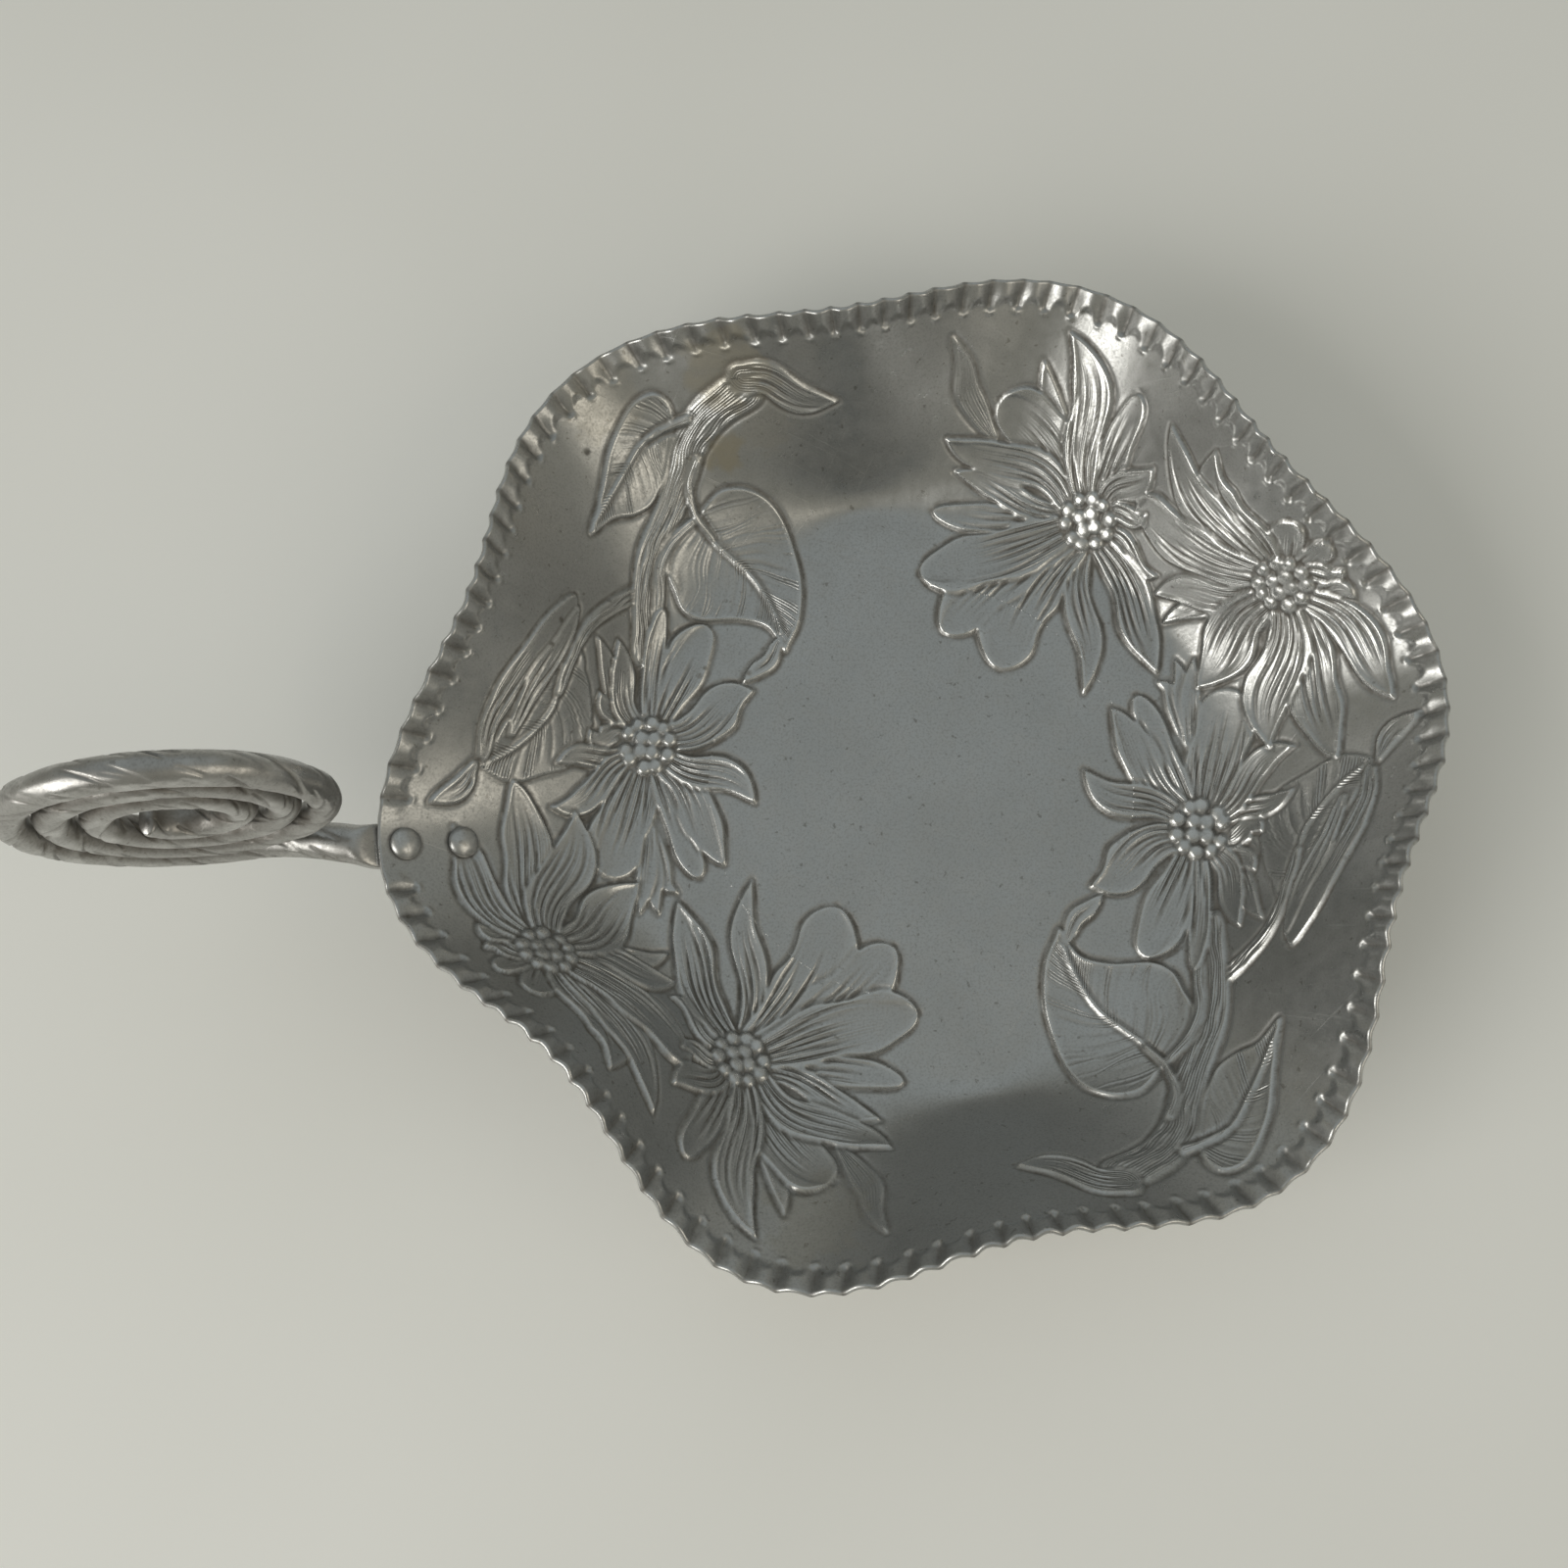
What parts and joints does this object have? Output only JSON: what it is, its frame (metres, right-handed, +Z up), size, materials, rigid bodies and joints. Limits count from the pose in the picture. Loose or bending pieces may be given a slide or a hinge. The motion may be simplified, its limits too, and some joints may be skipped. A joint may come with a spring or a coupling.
{
  "type": "handled tray",
  "caption": "Fluted tray pressed from one aluminium sheet, with a lobed wall, a crimped rim and a riveted handle wound from one rod into an upright flat coil.",
  "frame": {"origin": "centre of the flat base's underside, where the tray rests on a table", "axes": "+Z up out of the tray, handle towards -X, so +X runs along the longest extent"},
  "size_m": [0.2936, 0.2233, 0.1022],
  "materials": {
    "sheet": "satin, patinated, with raised relief",
    "rod": "forged, satin, darker in the grooves",
    "rivet": "satin"
  },
  "bodies": {
    "root": {"tray": "sheet", "coil_handle": "rod", "rivet_outer": "rivet", "rivet_inner": "rivet"}
  },
  "joints": []
}
